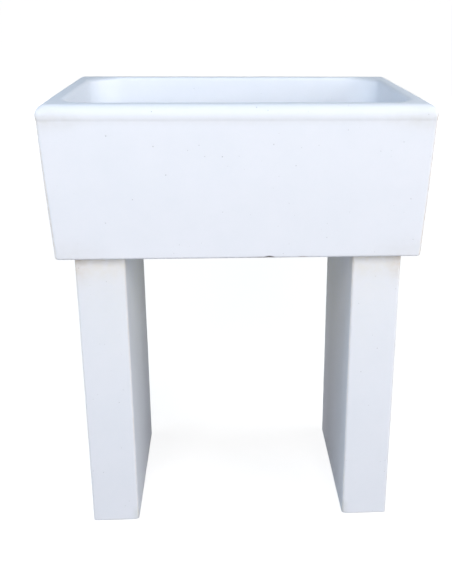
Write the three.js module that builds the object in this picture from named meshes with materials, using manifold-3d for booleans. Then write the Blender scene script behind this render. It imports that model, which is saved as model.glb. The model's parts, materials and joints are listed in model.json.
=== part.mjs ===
import * as THREE from "three";
import { mergeVertices } from "three/addons/utils/BufferGeometryUtils.js";
import Module from "manifold-3d";

// Utility laundry sink: a one-piece cast bowl on two slab legs, with its waste and plug.
// Millimetres, +Z up, +X to the right and +Y to the back of someone who stands at the sink.
// The origin is on the floor, below the middle of the rim.

// Bowl, outside
const RIM_HEIGHT = 860; // top of the rim above the floor
const BOWL_WIDTH = 700;
const BOWL_DEPTH = 500;
const BOWL_HEIGHT = 280; // underside to the top of the rim
const OUTER_DRAFT = 13; // how far each outer face leans in from the rim band to the underside
const RIM_BAND = 25; // height of the upright band round the rim
const RIM_OUTER_ROUND = 19;
const OUTER_CORNER = 8; // radius of the upright outer corners, seen from above
const BOWL_ARRIS = 4; // rounding of the edge round the underside

// Bowl, inside
const RIM_WIDTH = 38; // wall thickness at the rim
const RIM_INNER_ROUND = 8;
const INNER_DRAFT = 13; // how far each inner wall leans in from the rim to the floor
const INNER_CORNER = 70; // radius of the upright inner corners, seen from above
const COVE = 30; // radius where the walls run into the floor
const FLOOR_THICKNESS = 32; // at the waste
const FLOOR_FALL = 6; // drop of the floor from the foot of the walls to the waste

// Legs, and the mortar that beds the bowl on them
const LEG_WIDTH = 94;
const LEG_DEPTH = 365;
const LEG_SETBACK = 30; // leg front behind the front edge of the bowl's underside
const LEG_INSET = 30; // leg's outer face in from the side edge of the bowl's underside
const LEG_CORNER = 5; // radius of the leg's upright corners
const LEG_ARRIS = 3; // rounding of the leg's top and bottom edges
const BED_THICKNESS = 3;
const BED_INSET = 6; // how far the mortar stays back from the leg's faces

// Dowels that locate the bowl on the legs
const DOWEL_RADIUS = 6;
const DOWEL_LENGTH = 50;
const DOWEL_IN_BOWL = 18; // how far a dowel reaches into the underside
const DOWEL_SPACING = 240; // between the front and back dowel of a leg

// Waste: a flanged, threaded body with a bar grating, clamped through the floor by a lock nut
const TUBE_RADIUS = 24;
const TUBE_BORE = 19;
const TUBE_LENGTH = 36; // the part of the body that hangs below the bowl
const FLANGE_RADIUS = 38;
const FLANGE_THICKNESS = 3;
const FLANGE_SEAL_THICKNESS = 1.5;
const FLANGE_SINK = 0.5; // top of the flange below the edge of the floor round it
const SEAT_TOP_RADIUS = 22.7; // mouth of the cone that the plug closes
const SEAT_DEPTH = 11;
const DRAIN_HOLE_CLEARANCE = 2; // between the waste body and the hole through the floor
const GRATING_BAR_WIDTH = 3.5;
const GRATING_BAR_HEIGHT = 5;
const GRATING_DROP = 29; // grating bars below the top of the flange

// Clamping stack under the bowl
const RUBBER_WASHER_RADIUS = 35;
const RUBBER_WASHER_THICKNESS = 3;
const FIBRE_WASHER_RADIUS = 34;
const FIBRE_WASHER_THICKNESS = 1;
const LOCK_NUT_FLATS = 62; // across flats
const LOCK_NUT_HEIGHT = 9;

// Tailpiece, held to the end of the waste body by a coupling nut
const TAIL_RADIUS = 20;
const TAIL_BORE = 18;
const TAIL_LENGTH = 26;
const TAIL_FLANGE_THICKNESS = 2.5;
const TAIL_WASHER_THICKNESS = 2;
const COUPLING_NUT_FLATS = 57; // across flats
const COUPLING_NUT_GRIP = 14; // thread of the waste body that the nut covers
const COUPLING_NUT_LIP = 4.5; // thickness of the lip under the tailpiece's flange

// Plug with its eye and pull ring
const PLUG_LIP_RADIUS = 26;
const PLUG_LIP_THICKNESS = 2.7;
const PLUG_DEPTH = 14; // rubber below the lip
const STEM_RADIUS = 2.5;
const STEM_COLLAR_RADIUS = 4;
const STEM_COLLAR_THICKNESS = 1;
const STEM_WASHER_RADIUS = 8;
const STEM_WASHER_THICKNESS = 1;
const STEM_NUT_FLATS = 8; // across flats
const STEM_NUT_HEIGHT = 4;
const STEM_END = 1; // stem showing past its nut
const EYE_RADIUS = 4.2; // to the middle of the wire
const EYE_WIRE = 1.3; // radius of the wire
const RING_RADIUS = 9.5; // to the middle of the wire
const RING_WIRE = 1.2; // radius of the wire

// Clearances and facets
const FIT_GAP = 0.3; // between pieces that pass through or sit in one another
const CORNER_STEPS = 6; // facets round each corner of a rectangular ring
const SIDE_STEPS = 4; // facets along each side of a rectangular ring
const RING_STEPS = 4 * (CORNER_STEPS + SIDE_STEPS);
const DOWEL_STEPS = 24;
const STEM_STEPS = 20;
const WIRE_STEPS = 8;
const EYE_STEPS = 24;
const PULL_RING_STEPS = 36;

// Heights worked out from the sizes above
const undersideZ = RIM_HEIGHT - BOWL_HEIGHT;
const bandZ = RIM_HEIGHT - RIM_BAND;
const legTopZ = undersideZ - BED_THICKNESS;
const floorZ = undersideZ + FLOOR_THICKNESS;
const wallFootZ = floorZ + FLOOR_FALL;
const flangeTopZ = floorZ - FLANGE_SINK;
const flangeBottomZ = flangeTopZ - FLANGE_THICKNESS;
const rebateZ = flangeBottomZ - FLANGE_SEAL_THICKNESS;
const tubeEndZ = undersideZ - TUBE_LENGTH;
const rebateRadius = FLANGE_RADIUS + DRAIN_HOLE_CLEARANCE;
const holeRadius = TUBE_RADIUS + DRAIN_HOLE_CLEARANCE;

const wasm = await Module();
wasm.setup();

// ---- Closed meshes ----

function toSolid(geometry) {
  const bare = geometry.clone();
  bare.deleteAttribute("normal");
  bare.deleteAttribute("uv");
  const merged = mergeVertices(bare);
  const vertProperties = new Float32Array(merged.attributes.position.array);
  const triVerts = new Uint32Array(merged.index.array);
  return new wasm.Manifold(new wasm.Mesh({ numProp: 3, vertProperties, triVerts }));
}

function toGeometry(solid) {
  const mesh = solid.getMesh();
  const geometry = new THREE.BufferGeometry();
  geometry.setAttribute("position", new THREE.BufferAttribute(mesh.vertProperties, 3));
  geometry.setIndex(new THREE.BufferAttribute(mesh.triVerts, 1));
  return geometry;
}

function cutAway(geometry, cutters) {
  let solid = toSolid(geometry);
  for (const cutter of cutters) {
    solid = solid.subtract(toSolid(cutter));
  }
  return toGeometry(solid);
}

function joined(geometry, others) {
  let solid = toSolid(geometry);
  for (const other of others) {
    solid = solid.add(toSolid(other));
  }
  return toGeometry(solid);
}

// The closed outline of radii and heights turned about the Z axis. It runs up its outer side
// and down its inner side.
function turned(outline, steps) {
  const profile = outline.map(([radius, z]) => new THREE.Vector2(radius, z));
  profile.push(profile[0].clone());
  return new THREE.LatheGeometry(profile, steps).rotateX(Math.PI / 2);
}

function rod(radius, bottomZ, topZ, steps) {
  return turned([[0, bottomZ], [radius, bottomZ], [radius, topZ], [0, topZ]], steps);
}

function washer(bore, radius, bottomZ, topZ, steps) {
  return turned([[bore, bottomZ], [radius, bottomZ], [radius, topZ], [bore, topZ]], steps);
}

function hexagonalPrism(flats, bottomZ, topZ) {
  const cornerRadius = flats / 2 / Math.cos(Math.PI / 6);
  const prism = new THREE.CylinderGeometry(cornerRadius, cornerRadius, topZ - bottomZ, 6);
  return prism.rotateX(Math.PI / 2).translate(0, 0, (bottomZ + topZ) / 2);
}

// ---- Rings of points, and the skin that joins them ----

// Arc that rounds the corner between two straight runs of a profile.
function roundedCorner(before, corner, after, radius, steps) {
  const toBefore = before.clone().sub(corner).normalize();
  const toAfter = after.clone().sub(corner).normalize();
  const halfAngle = Math.acos(toBefore.dot(toAfter)) / 2;
  const middle = toBefore.clone().add(toAfter).normalize();
  const centre = middle.clone().multiplyScalar(radius / Math.sin(halfAngle)).add(corner);
  const reach = radius / Math.tan(halfAngle);
  const start = toBefore.clone().multiplyScalar(reach).add(corner).sub(centre);
  const end = toAfter.clone().multiplyScalar(reach).add(corner).sub(centre);
  const sweep = Math.PI - 2 * halfAngle;
  const turn = Math.sign(start.x * end.y - start.y * end.x) * sweep;
  const origin = new THREE.Vector2(0, 0);
  return Array.from({ length: steps + 1 }, (unused, step) =>
    start.clone().rotateAround(origin, turn * step / steps).add(centre));
}

// Rectangle with round corners, counterclockwise from above, at one height.
function rectangularRing(halfX, halfY, cornerRadius, z) {
  const ring = [];
  const quarter = Math.PI / 2;
  for (let side = 0; side < 4; side += 1) {
    const signX = side === 0 || side === 3 ? 1 : -1;
    const signY = side < 2 ? 1 : -1;
    const centreX = signX * (halfX - cornerRadius);
    const centreY = signY * (halfY - cornerRadius);
    for (let step = 0; step <= CORNER_STEPS; step += 1) {
      const angle = quarter * (side + step / CORNER_STEPS);
      const x = centreX + cornerRadius * Math.cos(angle);
      const y = centreY + cornerRadius * Math.sin(angle);
      ring.push(new THREE.Vector3(x, y, z));
    }
  }
  return withSidePoints(ring);
}

// Adds the points along the four straight sides, so that every ring has as many points.
function withSidePoints(corners) {
  const perCorner = CORNER_STEPS + 1;
  const ring = [];
  for (let side = 0; side < 4; side += 1) {
    const arc = corners.slice(side * perCorner, (side + 1) * perCorner);
    const next = corners[(side + 1) * perCorner % corners.length];
    ring.push(...arc);
    for (let step = 1; step < SIDE_STEPS; step += 1) {
      ring.push(arc[CORNER_STEPS].clone().lerp(next, step / SIDE_STEPS));
    }
  }
  return ring;
}

// Circle whose points match those of a rectangular ring one to one.
function circularRing(radius, z) {
  const stepAngle = 2 * Math.PI / RING_STEPS;
  const firstAngle = SIDE_STEPS / 2 * stepAngle;
  return Array.from({ length: RING_STEPS }, (unused, step) => {
    const angle = firstAngle + step * stepAngle;
    return new THREE.Vector3(radius * Math.cos(angle), radius * Math.sin(angle), z);
  });
}

// Skin over a list of rings. A looped skin joins the last ring to the first; the other kind
// is closed by a flat face at each end.
function skin(rings, looped) {
  const positions = rings.flat().flatMap((point) => [point.x, point.y, point.z]);
  const faces = [];
  const bands = looped ? rings.length : rings.length - 1;
  for (let band = 0; band < bands; band += 1) {
    const low = band * RING_STEPS;
    const high = (band + 1) % rings.length * RING_STEPS;
    for (let step = 0; step < RING_STEPS; step += 1) {
      const next = (step + 1) % RING_STEPS;
      faces.push(low + step, low + next, high + next);
      faces.push(low + step, high + next, high + step);
    }
  }
  if (!looped) {
    const last = bands * RING_STEPS;
    for (let step = 1; step < RING_STEPS - 1; step += 1) {
      faces.push(0, step + 1, step);
      faces.push(last, last + step, last + step + 1);
    }
  }
  const geometry = new THREE.BufferGeometry();
  geometry.setAttribute("position", new THREE.Float32BufferAttribute(positions, 3));
  geometry.setIndex(faces);
  return geometry;
}

// ---- Materials ----

function finish(color, roughness, metalness) {
  return new THREE.MeshStandardMaterial({ color, roughness, metalness });
}

const castWhite = () => finish(0xecf0f9, 0.55, 0);
const mortar = () => finish(0xbab7b0, 0.9, 0);
const galvanised = () => finish(0x9a9c9e, 0.5, 1);
const chromed = () => finish(0xd2d6da, 0.15, 1);
const blackRubber = () => finish(0x26272a, 0.7, 0);
const redFibre = () => finish(0x8c4a3a, 0.85, 0);
const brass = () => finish(0xc0a062, 0.35, 1);

const sink = new THREE.Group();

function addPiece(name, geometry, material, x = 0, y = 0) {
  const mesh = new THREE.Mesh(geometry, material);
  mesh.name = name;
  mesh.position.set(x, y, 0);
  sink.add(mesh);
}

// ---- Legs, mortar beds and dowels ----

const undersideHalfX = BOWL_WIDTH / 2 - OUTER_DRAFT;
const undersideHalfY = BOWL_DEPTH / 2 - OUTER_DRAFT;
const legX = undersideHalfX - LEG_INSET - LEG_WIDTH / 2;
const legY = LEG_DEPTH / 2 - undersideHalfY + LEG_SETBACK;
const dowelHole = DOWEL_RADIUS + FIT_GAP;
const dowelTopZ = undersideZ + DOWEL_IN_BOWL;
const dowelBottomZ = dowelTopZ - DOWEL_LENGTH;

function dowelCutter(x, y) {
  const cutter = rod(dowelHole, dowelBottomZ - FIT_GAP, dowelTopZ + FIT_GAP, DOWEL_STEPS);
  return cutter.translate(x, y, 0);
}

function legDowelCutters() {
  return [dowelCutter(0, -DOWEL_SPACING / 2), dowelCutter(0, DOWEL_SPACING / 2)];
}

function slabRing(inset, z) {
  const cornerRadius = Math.max(LEG_CORNER - inset, LEG_ARRIS / 2);
  return rectangularRing(LEG_WIDTH / 2 - inset, LEG_DEPTH / 2 - inset, cornerRadius, z);
}

function legGeometry() {
  const bottom = new THREE.Vector2(0, 0);
  const top = new THREE.Vector2(0, legTopZ);
  const acrossBottom = new THREE.Vector2(LEG_WIDTH / 2, 0);
  const acrossTop = new THREE.Vector2(LEG_WIDTH / 2, legTopZ);
  const profile = [
    ...roundedCorner(acrossBottom, bottom, top, LEG_ARRIS, 3),
    ...roundedCorner(bottom, top, acrossTop, LEG_ARRIS, 3),
  ];
  const leg = skin(profile.map((point) => slabRing(point.x, point.y)), false);
  return cutAway(leg, legDowelCutters());
}

function mortarBedGeometry() {
  const bed = skin([slabRing(BED_INSET, legTopZ), slabRing(BED_INSET, undersideZ)], false);
  return cutAway(bed, legDowelCutters());
}

for (const [side, x] of [["left", -legX], ["right", legX]]) {
  addPiece(`${side}_leg`, legGeometry(), castWhite(), x, legY);
  addPiece(`${side}_mortar_bed`, mortarBedGeometry(), mortar(), x, legY);
  for (const [end, y] of [["front", -DOWEL_SPACING / 2], ["back", DOWEL_SPACING / 2]]) {
    const dowel = rod(DOWEL_RADIUS, dowelBottomZ, dowelTopZ, DOWEL_STEPS);
    addPiece(`${side}_${end}_dowel`, dowel, galvanised(), x, legY + y);
  }
}

// ---- Bowl ----

// Rings are set in from the upright face of the rim band by a profile of insets and heights.
function bowlRing(inset, z, cornerRadius) {
  return rectangularRing(BOWL_WIDTH / 2 - inset, BOWL_DEPTH / 2 - inset, cornerRadius, z);
}

function bowlGeometry() {
  const outerRound = Math.min(RIM_OUTER_ROUND, RIM_WIDTH / 2, RIM_BAND);
  const innerRound = Math.min(RIM_INNER_ROUND, RIM_WIDTH / 2);
  const underside = new THREE.Vector2(BOWL_WIDTH / 4, undersideZ);
  const undersideEdge = new THREE.Vector2(OUTER_DRAFT, undersideZ);
  const bandFoot = new THREE.Vector2(0, bandZ);
  const rimOutside = new THREE.Vector2(0, RIM_HEIGHT);
  const rimInside = new THREE.Vector2(RIM_WIDTH, RIM_HEIGHT);
  const wallFoot = new THREE.Vector2(RIM_WIDTH + INNER_DRAFT, wallFootZ);
  const floorMiddle = new THREE.Vector2(BOWL_WIDTH / 4, wallFootZ);

  const outerSkin = [
    ...roundedCorner(underside, undersideEdge, bandFoot, BOWL_ARRIS, 3),
    bandFoot,
  ];
  const rimSkin = [
    ...roundedCorner(bandFoot, rimOutside, rimInside, outerRound, 6),
    ...roundedCorner(rimOutside, rimInside, wallFoot, innerRound, 5),
  ];
  const coveSkin = roundedCorner(rimInside, wallFoot, floorMiddle, COVE, 6);

  const outerRings = outerSkin.map((point) => bowlRing(point.x, point.y, OUTER_CORNER));
  const rimRings = rimSkin.map((point) => {
    const pastCrest = (point.x - outerRound) / Math.max(RIM_WIDTH - outerRound, 1);
    const across = THREE.MathUtils.clamp(pastCrest, 0, 1);
    return bowlRing(point.x, point.y, THREE.MathUtils.lerp(OUTER_CORNER, INNER_CORNER, across));
  });
  const coveRings = coveSkin.map((point) => {
    const fromWall = point.x - coveSkin[0].x;
    return bowlRing(point.x, point.y, Math.max(INNER_CORNER - fromWall, OUTER_CORNER));
  });
  const drainRings = [
    circularRing(rebateRadius, floorZ),
    circularRing(rebateRadius, rebateZ),
    circularRing(holeRadius, rebateZ),
    circularRing(holeRadius, undersideZ),
  ];
  return skin([...outerRings, ...rimRings, ...coveRings, ...drainRings], true);
}

const bowlDowelCutters = [-legX, legX].flatMap((x) =>
  [-DOWEL_SPACING / 2, DOWEL_SPACING / 2].map((y) => dowelCutter(x, legY + y)));
addPiece("bowl", cutAway(bowlGeometry(), bowlDowelCutters), castWhite());

// ---- Waste body and the stack that clamps it ----

const threadHole = TUBE_RADIUS + FIT_GAP;
const barTopZ = flangeTopZ - GRATING_DROP;
const barBottomZ = barTopZ - GRATING_BAR_HEIGHT;

function wasteBodyGeometry() {
  const body = turned([
    [TUBE_BORE, tubeEndZ],
    [TUBE_RADIUS, tubeEndZ],
    [TUBE_RADIUS, flangeBottomZ],
    [FLANGE_RADIUS, flangeBottomZ],
    [FLANGE_RADIUS, flangeTopZ - FLANGE_THICKNESS / 2],
    [FLANGE_RADIUS - FLANGE_THICKNESS / 2, flangeTopZ],
    [SEAT_TOP_RADIUS, flangeTopZ],
    [TUBE_BORE, flangeTopZ - SEAT_DEPTH],
  ], RING_STEPS);
  const barLength = TUBE_BORE + TUBE_RADIUS;
  const barZ = (barTopZ + barBottomZ) / 2;
  const bar = new THREE.BoxGeometry(barLength, GRATING_BAR_WIDTH, GRATING_BAR_HEIGHT);
  bar.translate(0, 0, barZ);
  return joined(body, [bar, bar.clone().rotateZ(Math.PI / 2)]);
}

const rubberWasherZ = undersideZ - RUBBER_WASHER_THICKNESS;
const fibreWasherZ = rubberWasherZ - FIBRE_WASHER_THICKNESS;
const lockNutZ = fibreWasherZ - LOCK_NUT_HEIGHT;
const flangeSeal = washer(threadHole, FLANGE_RADIUS, rebateZ, flangeBottomZ, RING_STEPS);
const rubberWasher =
  washer(threadHole, RUBBER_WASHER_RADIUS, rubberWasherZ, undersideZ, RING_STEPS);
const fibreWasher =
  washer(threadHole, FIBRE_WASHER_RADIUS, fibreWasherZ, rubberWasherZ, RING_STEPS);
const lockNutBore = rod(threadHole, lockNutZ - 1, fibreWasherZ + 1, RING_STEPS);
const lockNut = cutAway(hexagonalPrism(LOCK_NUT_FLATS, lockNutZ, fibreWasherZ), [lockNutBore]);

addPiece("waste_body", wasteBodyGeometry(), chromed());
addPiece("flange_seal", flangeSeal, blackRubber());
addPiece("rubber_washer", rubberWasher, blackRubber());
addPiece("fibre_washer", fibreWasher, redFibre());
addPiece("lock_nut", lockNut, brass());

// ---- Tailpiece and its coupling nut ----

const tailFlangeRadius = TUBE_RADIUS - FIT_GAP;
const tailWasherZ = tubeEndZ - TAIL_WASHER_THICKNESS;
const tailFlangeZ = tailWasherZ - TAIL_FLANGE_THICKNESS;
const tailEndZ = tailFlangeZ - TAIL_LENGTH;
const couplingNutZ = tailFlangeZ - COUPLING_NUT_LIP;
const couplingNutTopZ = tubeEndZ + COUPLING_NUT_GRIP;

const tailWasher = washer(TAIL_BORE, tailFlangeRadius, tailWasherZ, tubeEndZ, RING_STEPS);
const tailpiece = turned([
  [TAIL_BORE, tailEndZ],
  [TAIL_RADIUS, tailEndZ],
  [TAIL_RADIUS, tailFlangeZ],
  [tailFlangeRadius, tailFlangeZ],
  [tailFlangeRadius, tailWasherZ],
  [TAIL_BORE, tailWasherZ],
], RING_STEPS);
const couplingNutBore = turned([
  [0, couplingNutZ - 1],
  [TAIL_RADIUS + FIT_GAP, couplingNutZ - 1],
  [TAIL_RADIUS + FIT_GAP, tailFlangeZ],
  [threadHole, tailFlangeZ],
  [threadHole, couplingNutTopZ + 1],
  [0, couplingNutTopZ + 1],
], RING_STEPS);
const couplingNutBlank = hexagonalPrism(COUPLING_NUT_FLATS, couplingNutZ, couplingNutTopZ);

addPiece("tailpiece_washer", tailWasher, blackRubber());
addPiece("tailpiece", tailpiece, chromed());
addPiece("coupling_nut", cutAway(couplingNutBlank, [couplingNutBore]), chromed());

// ---- Plug: rubber stopper on a stem with an eye and a pull ring ----

const stemHole = STEM_RADIUS + FIT_GAP;
const lipZ = flangeTopZ + FIT_GAP;
const plugTopZ = lipZ + PLUG_LIP_THICKNESS;
const plugBottomZ = lipZ - PLUG_DEPTH;
const collarZ = plugTopZ + STEM_WASHER_THICKNESS;
const collarTopZ = collarZ + STEM_COLLAR_THICKNESS;
const stemNutTopZ = plugBottomZ - STEM_WASHER_THICKNESS;
const stemNutZ = stemNutTopZ - STEM_NUT_HEIGHT;
const stemEndZ = stemNutZ - STEM_END;
const eyeZ = collarTopZ + EYE_RADIUS;
const plugSeatBottomZ = flangeTopZ - SEAT_DEPTH;

const plugBody = turned([
  [stemHole, plugBottomZ],
  [TUBE_BORE - 2 * FIT_GAP, plugBottomZ],
  [TUBE_BORE - FIT_GAP, plugSeatBottomZ],
  [SEAT_TOP_RADIUS - FIT_GAP, flangeTopZ],
  [SEAT_TOP_RADIUS - FIT_GAP, lipZ],
  [PLUG_LIP_RADIUS, lipZ],
  [PLUG_LIP_RADIUS - PLUG_LIP_THICKNESS / 2, plugTopZ],
  [stemHole, plugTopZ],
], RING_STEPS);

function plugStemGeometry() {
  const shank = turned([
    [0, stemEndZ],
    [STEM_RADIUS, stemEndZ],
    [STEM_RADIUS, collarZ],
    [STEM_COLLAR_RADIUS, collarZ],
    [STEM_COLLAR_RADIUS, collarTopZ],
    [0, collarTopZ],
  ], STEM_STEPS);
  const eye = new THREE.TorusGeometry(EYE_RADIUS, EYE_WIRE, WIRE_STEPS, EYE_STEPS);
  return joined(shank, [eye.rotateY(Math.PI / 2).translate(0, 0, eyeZ)]);
}

// The ring hangs in the eye and leans down to the back until its far side meets the rubber.
function pullRingGeometry() {
  const drop = eyeZ - RING_WIRE - FIT_GAP - plugTopZ;
  const lean = Math.asin(drop / (2 * RING_RADIUS));
  const ring = new THREE.TorusGeometry(RING_RADIUS, RING_WIRE, WIRE_STEPS, PULL_RING_STEPS);
  return ring.translate(0, RING_RADIUS, 0).rotateX(-lean).translate(0, 0, eyeZ);
}

const upperWasher = washer(stemHole, STEM_WASHER_RADIUS, plugTopZ, collarZ, STEM_STEPS);
const lowerWasher = washer(stemHole, STEM_WASHER_RADIUS, stemNutTopZ, plugBottomZ, STEM_STEPS);
const stemNutBore = rod(stemHole, stemNutZ - 1, stemNutTopZ + 1, STEM_STEPS);
const stemNut = cutAway(hexagonalPrism(STEM_NUT_FLATS, stemNutZ, stemNutTopZ), [stemNutBore]);

addPiece("plug_rubber", plugBody, blackRubber());
addPiece("plug_stem", plugStemGeometry(), chromed());
addPiece("plug_upper_washer", upperWasher, chromed());
addPiece("plug_lower_washer", lowerWasher, chromed());
addPiece("plug_nut", stemNut, brass());
addPiece("pull_ring", pullRingGeometry(), chromed());

export default sink;
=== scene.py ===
import json
import math
from collections import namedtuple

import bmesh
import bpy
import numpy as np
from bpy.props import FloatProperty, FloatVectorProperty, PointerProperty
from mathutils import Euler, Matrix, Vector


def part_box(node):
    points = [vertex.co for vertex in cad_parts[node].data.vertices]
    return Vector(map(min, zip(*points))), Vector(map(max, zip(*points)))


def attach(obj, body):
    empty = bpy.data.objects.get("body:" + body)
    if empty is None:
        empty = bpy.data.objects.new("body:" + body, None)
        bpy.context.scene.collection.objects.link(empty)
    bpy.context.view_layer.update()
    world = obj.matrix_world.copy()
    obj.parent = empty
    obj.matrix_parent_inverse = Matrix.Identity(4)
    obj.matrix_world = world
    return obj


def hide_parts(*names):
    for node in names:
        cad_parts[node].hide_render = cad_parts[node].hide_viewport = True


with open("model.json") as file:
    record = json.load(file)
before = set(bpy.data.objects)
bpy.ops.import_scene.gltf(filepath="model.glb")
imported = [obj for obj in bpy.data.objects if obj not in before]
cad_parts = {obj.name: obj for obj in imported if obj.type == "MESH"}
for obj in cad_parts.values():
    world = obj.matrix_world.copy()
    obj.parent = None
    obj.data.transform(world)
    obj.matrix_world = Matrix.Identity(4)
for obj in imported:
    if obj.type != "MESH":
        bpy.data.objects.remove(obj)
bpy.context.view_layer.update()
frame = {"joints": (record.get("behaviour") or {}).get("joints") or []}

bl_info = {
    "name": "Utility Laundry Sink",
    "version": (1, 0, 0),
    "blender": (4, 5, 0),
    "location": "3D View > Sidebar > Laundry Sink",
    "description": "Dresses a cast laundry sink with its bowl, legs, waste and plug",
    "category": "Add Mesh",
}

MM = 0.001
FULL_TURN = 2 * math.pi
UP = np.array([0.0, 0.0, 1.0])
MERGE_DISTANCE = 0.002 * MM  # points nearer than this are one
SHARP_ANGLE = math.radians(32)  # edges sharper than this aren't shaded smooth
ARC_STEP = math.radians(11)  # longest turn between two points of an arc
ROUND_STEPS = 96  # points round a turned piece, unless it says otherwise


# ---- Sizes and colours a user would change ----

def length(name, description, millimetres):
    """A length property, given in millimetres and held in metres."""
    return FloatProperty(
        name=name, description=description, default=millimetres * MM, unit="LENGTH", precision=4
    )


def linear(hex_colour):
    """sRGB hex to linear: each channel is divided by 12.92 below the knee, else it is
    shifted, scaled and raised to the power 2.4."""
    channels = np.array([hex_colour >> 16 & 255, hex_colour >> 8 & 255, hex_colour & 255]) / 255
    curved = ((channels + 0.055) / 1.055) ** 2.4
    return tuple(float(c) for c in np.where(channels <= 0.04045, channels / 12.92, curved))


def colour(name, description, hex_colour):
    """A colour property, given as an sRGB hex value and held as linear."""
    return FloatVectorProperty(
        name=name, description=description, default=linear(hex_colour), subtype="COLOR", size=3
    )


class BowlSizes(bpy.types.PropertyGroup):
    """Sizes of the cast bowl that its box doesn't give."""

    outer_draft: length("Outer draft", "Lean of each outer face, band to underside", 13)
    rim_band: length("Rim band", "Height of the upright band round the rim", 25)
    rim_outer_round: length("Rim outer round", "Rounding of the rim's outer edge", 19)
    rim_inner_round: length("Rim inner round", "Rounding of the rim's inner edge", 8)
    rim_width: length("Rim width", "Wall thickness at the rim", 38)
    outer_corner: length("Outer corner", "Radius of the upright outer corners", 8)
    arris: length("Arris", "Rounding of the edge round the underside", 4)
    band_step: length("Band step", "How far the rim band stands proud of the face below", 1.3)
    inner_draft: length("Inner draft", "Lean of each inner wall, rim to floor", 13)
    inner_corner: length("Inner corner", "Radius of the upright inner corners", 70)
    cove: length("Cove", "Radius where the walls run into the floor", 30)
    floor_thickness: length("Floor thickness", "Thickness of the floor at the waste", 32)
    floor_fall: length("Floor fall", "Drop of the floor from the walls to the waste", 6)
    rebate_radius: length("Rebate radius", "Recess in the floor for the waste flange", 40)
    rebate_depth: length("Rebate depth", "Depth of that recess", 5)
    hole_radius: length("Hole radius", "Hole through the floor", 26)
    facet: length("Facet", "Longest side of a facet", 6)
    wander: length("Wander", "How far a face strays inwards from true", 0.5)


class LegSizes(bpy.types.PropertyGroup):
    """Sizes of the slab legs and their mortar beds that their boxes don't give."""

    corner: length("Corner", "Radius of the upright corners", 5)
    arris: length("Arris", "Rounding of the top and bottom edges", 3)
    facet: length("Facet", "Longest side of a facet", 7)
    wander: length("Wander", "How far a face strays inwards from true", 0.6)
    bed_wander: length("Bed wander", "How far the mortar's edge strays", 2.5)


class WasteSizes(bpy.types.PropertyGroup):
    """Sizes of the waste and its nuts that their boxes don't give."""

    tube_radius: length("Tube radius", "Outside of the threaded tube", 24)
    tube_bore: length("Tube bore", "Bore of the threaded tube", 19)
    thread_pitch: length("Thread pitch", "Eleven threads to the inch", 2.309)
    thread_depth: length("Thread depth", "Crest to root", 1.1)
    thread_top: length("Thread top", "Plain neck of the tube under the flange", 14)
    flange_thickness: length("Flange thickness", "At its rim", 3)
    seat_radius: length("Seat radius", "Mouth of the cone that the plug closes", 22.7)
    seat_depth: length("Seat depth", "Depth of that cone", 11)
    bar_width: length("Bar width", "Width of a grating bar", 3.5)
    bar_height: length("Bar height", "Height of a grating bar", 5)
    grating_drop: length("Grating drop", "Bars below the top of the flange", 29)
    tail_radius: length("Tail radius", "Outside of the tailpiece", 20)
    tail_bore: length("Tail bore", "Bore of the tailpiece", 18)
    tail_flange: length("Tail flange", "Thickness of the tailpiece's flange", 2.5)
    fit_gap: length("Fit gap", "Clearance between pieces in one another", 0.3)
    lock_nut_flats: length("Lock nut flats", "Across flats", 62)
    coupling_nut_flats: length("Coupling nut flats", "Across flats", 57)


class PlugSizes(bpy.types.PropertyGroup):
    """Sizes of the plug, its stem and its pull ring that their boxes don't give."""

    lip_thickness: length("Lip thickness", "Rubber lip over the flange", 2.7)
    stem_radius: length("Stem radius", "Shank through the rubber", 2.5)
    collar_radius: length("Collar radius", "Collar under the eye", 4)
    collar_thickness: length("Collar thickness", "Collar under the eye", 1)
    eye_radius: length("Eye radius", "To the middle of its wire", 4.2)
    eye_wire: length("Eye wire", "Radius of its wire", 1.3)
    thread_pitch: length("Thread pitch", "Pitch of the stem's thread", 0.8)
    thread_depth: length("Thread depth", "Crest to root", 0.35)
    ring_radius: length("Ring radius", "To the middle of its wire", 9.5)
    ring_wire: length("Ring wire", "Radius of its wire", 1.2)
    nut_flats: length("Nut flats", "Across flats", 8)


class SinkColours(bpy.types.PropertyGroup):
    """Colours of the finishes."""

    cast: colour("Cast", "Sealed white cast stone", 0xECEFF6)
    cast_cloud: colour("Cast cloud", "Greyer drifts in the cast stone", 0xE9EDF4)
    pit: colour("Pit", "Shade in the pinholes", 0xA0A4AA)
    rubbed: colour("Rubbed", "Warmer white on the rubbed arrises", 0xDCCFC2)
    mortar: colour("Mortar", "Cement mortar", 0xBAB7B0)
    zinc: colour("Zinc", "Galvanised steel", 0xA4A8AC)
    chrome: colour("Chrome", "Bright chrome plate", 0xDADCDF)
    brass: colour("Brass", "Cast brass, a little tarnished", 0xC2A264)
    rubber: colour("Rubber", "Black moulded rubber", 0x2A2B2E)
    fibre: colour("Fibre", "Red vulcanised fibre", 0x8C4A3A)


def settings(group):
    """One group of sizes or colours of this scene."""
    return getattr(bpy.context.scene, group)


# ---- Meshes from grids of points ----

def grid_faces(rows, columns, looped):
    """Quads of a grid whose columns loop: a point, its neighbour round the row, and the two
    next to them in the next row. A looped grid also joins its last row to its first."""
    row, column = np.meshgrid(
        np.arange(rows if looped else rows - 1), np.arange(columns), indexing="ij"
    )
    next_row = (row + 1) % rows
    next_column = (column + 1) % columns
    quads = [
        row * columns + column,
        row * columns + next_column,
        next_row * columns + next_column,
        next_row * columns + column,
    ]
    return np.stack(quads, axis=-1).reshape(-1, 4)


def signed_volume(points, faces):
    """Sum over the faces' triangles of a sixth of corner . (corner x corner)."""
    total = 0.0
    for face in (faces[:, [0, 1, 2]], faces[:, [0, 2, 3]]):
        a, b, c = (points[face[:, k]] for k in range(3))
        total += float(np.einsum("ij,ij->", a, np.cross(b, c))) / 6
    return total


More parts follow.
